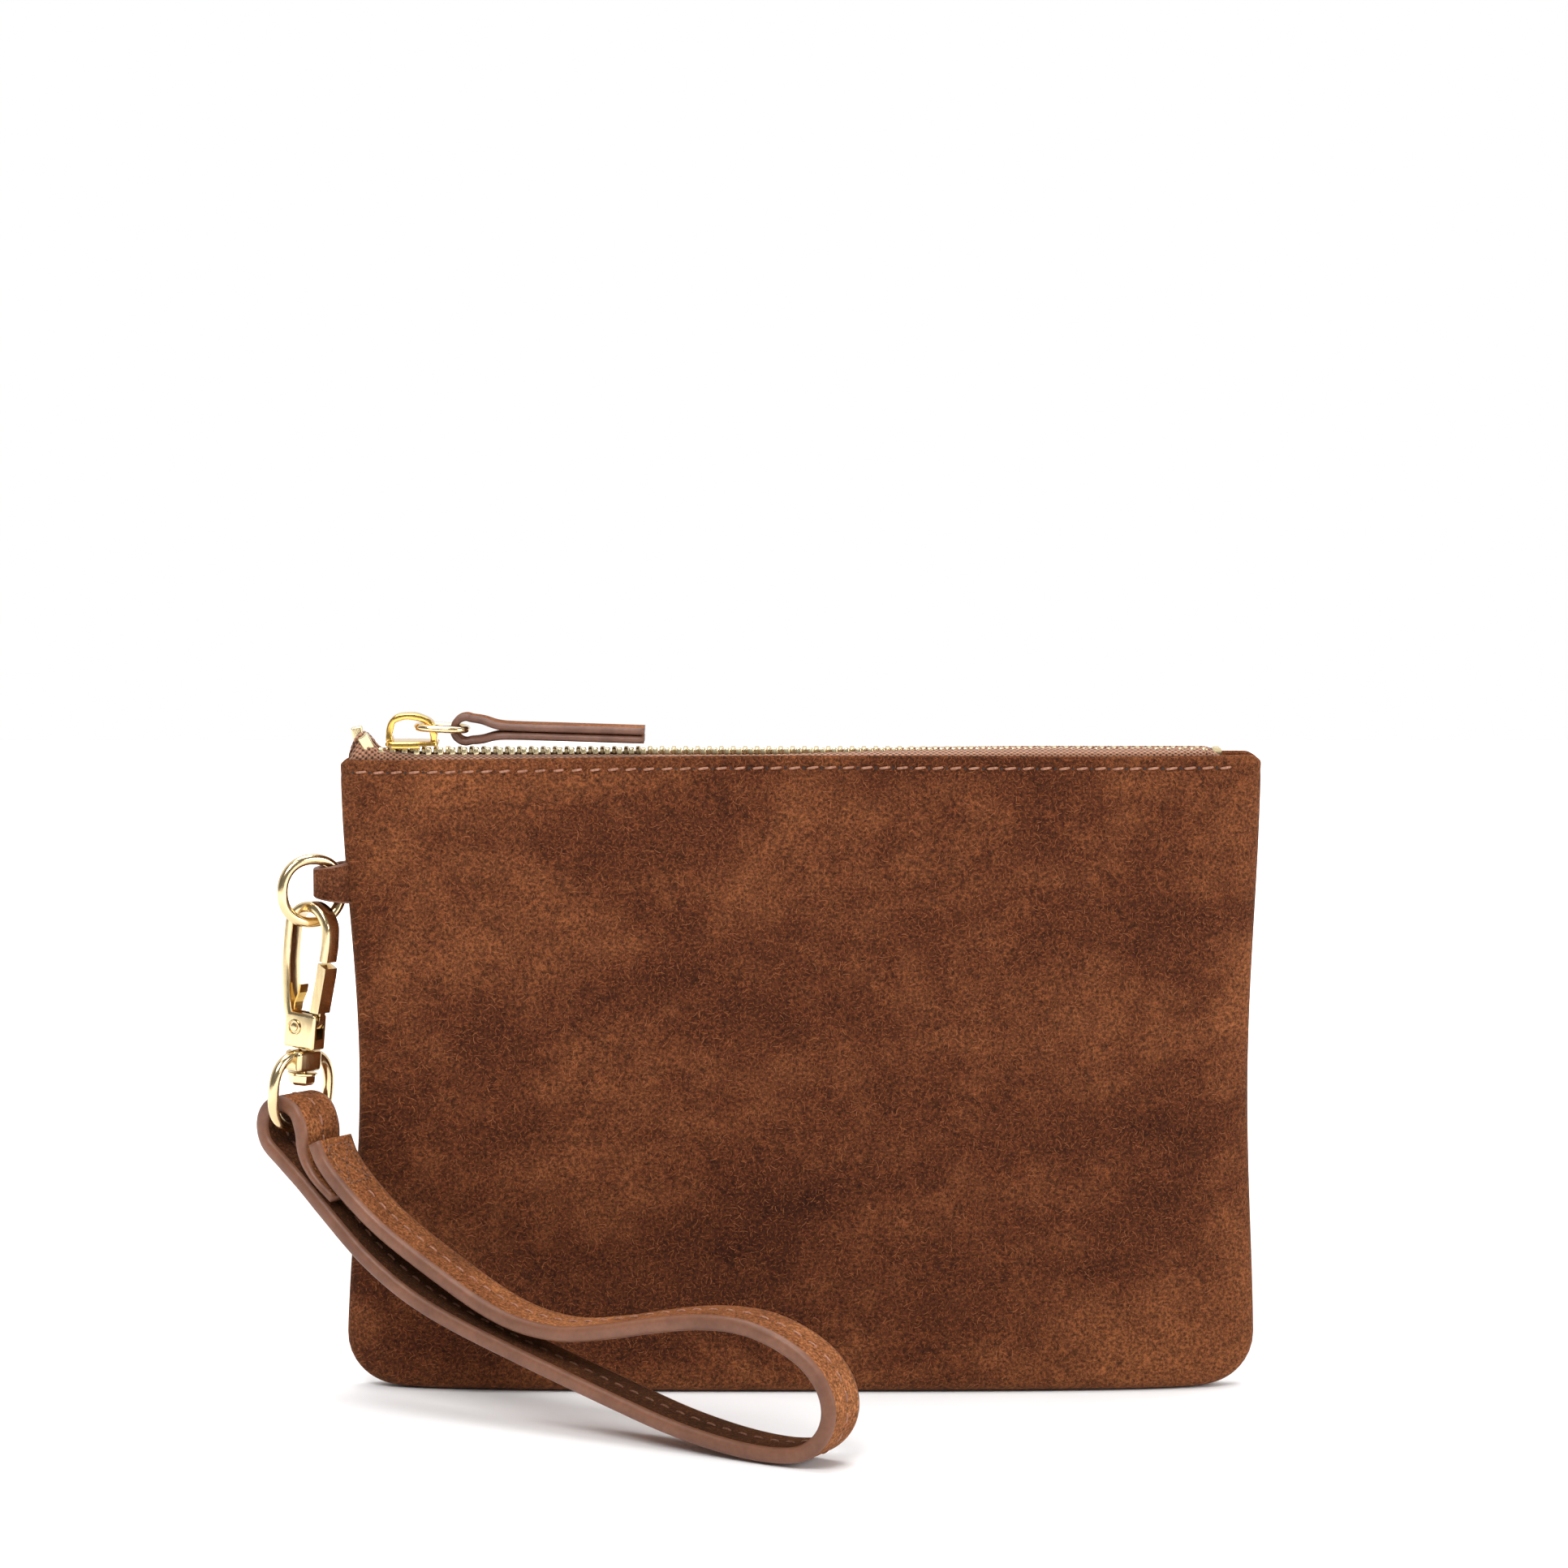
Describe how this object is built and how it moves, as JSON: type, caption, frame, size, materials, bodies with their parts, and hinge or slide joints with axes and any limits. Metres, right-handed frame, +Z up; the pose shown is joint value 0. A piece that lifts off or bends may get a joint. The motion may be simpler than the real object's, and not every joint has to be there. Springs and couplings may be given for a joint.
{
  "type": "wristlet wallet",
  "caption": "Flat suede pouch with a zip along its top edge, a side ring, a swivel snap hook and a looped wrist strap.",
  "frame": {"origin": "middle of the pouch's flat base, under the zip's line", "axes": "+X along the zip, away from the hook; -Y out of the front panel; +Z up to the zip"},
  "size_m": [0.2204, 0.0874, 0.1493],
  "materials": {
    "suede": "napped brown suede, matte",
    "lining": "plain woven lining",
    "zip_tape": "ribbed woven tape",
    "tooth_brass": "satin, pale",
    "slider_brass": "polished",
    "pale_gold": "polished pale gold plating",
    "spring_steel": "satin",
    "pull_leather": "suede with painted edges"
  },
  "bodies": {
    "pouch": {"front_panel": "suede", "back_panel": "suede", "front_lining": "lining", "back_lining": "lining", "zip_tape_front": "zip_tape", "zip_tape_back": "zip_tape", "zip_teeth_front": "tooth_brass", "zip_teeth_back": "tooth_brass", "zip_top_stop_front": "tooth_brass", "zip_top_stop_back": "tooth_brass", "zip_bottom_stop": "tooth_brass", "side_tab": "suede"},
    "slider": {"zip_slider": "slider_brass", "slider_lower_plate": "slider_brass"},
    "pull_link": {"pull_ring": "slider_brass"},
    "pull": {"zip_pull": "pull_leather"},
    "ring": {"side_ring": "pale_gold"},
    "hook": {"hook_body": "pale_gold", "gate_rivet": "pale_gold", "gate_spring": "spring_steel", "swivel_pin": "pale_gold"},
    "gate": {"hook_gate": "pale_gold"},
    "eye": {"swivel_eye": "pale_gold"},
    "strap": {"strap_outer": "suede", "strap_inner": "suede"}
  },
  "joints": [
    {"name": "zip_slide", "type": "slide", "parent": "pouch", "child": "slider", "axis": [1, 0, 0], "range_m": [0, 0.165]},
    {"name": "link_hinge", "type": "hinge", "parent": "slider", "child": "pull_link", "pos_m": [-0.0832, 0, 0.1464], "axis": [0, 1, 0], "range_deg": [-90, 0]},
    {"name": "pull_hinge", "type": "hinge", "parent": "pull_link", "child": "pull", "pos_m": [-0.07241, 0, 0.14583], "axis": [0, 1, 0], "range_deg": [-60, 0]},
    {"name": "ring_hinge", "type": "hinge", "parent": "pouch", "child": "ring", "pos_m": [-0.1001, 0, 0.1106], "axis": [0, 0, -1], "range_deg": [0, 50]},
    {"name": "hook_hinge", "type": "hinge", "parent": "ring", "child": "hook", "pos_m": [-0.10624, -0.00326, 0.10365], "axis": [0.8829, 0.4695, 0], "range_deg": [-45, 0]},
    {"name": "gate_hinge", "type": "hinge", "parent": "hook", "child": "gate", "pos_m": [-0.10904, -0.00258, 0.0806], "axis": [-0.5718, -0.8192, 0.045], "range_deg": [0, 22], "stiffness_Nm_per_rad": 0.01},
    {"name": "swivel", "type": "hinge", "parent": "hook", "child": "eye", "pos_m": [-0.10624, -0.00326, 0.10365], "axis": [0.0785, 0, 0.9969], "range_deg": [-180, 0]},
    {"name": "strap_hinge", "type": "hinge", "parent": "eye", "child": "strap", "pos_m": [-0.10979, -0.00326, 0.05849], "axis": [0.6408, 0.766, -0.0504], "range_deg": [-25, 15]}
  ]
}
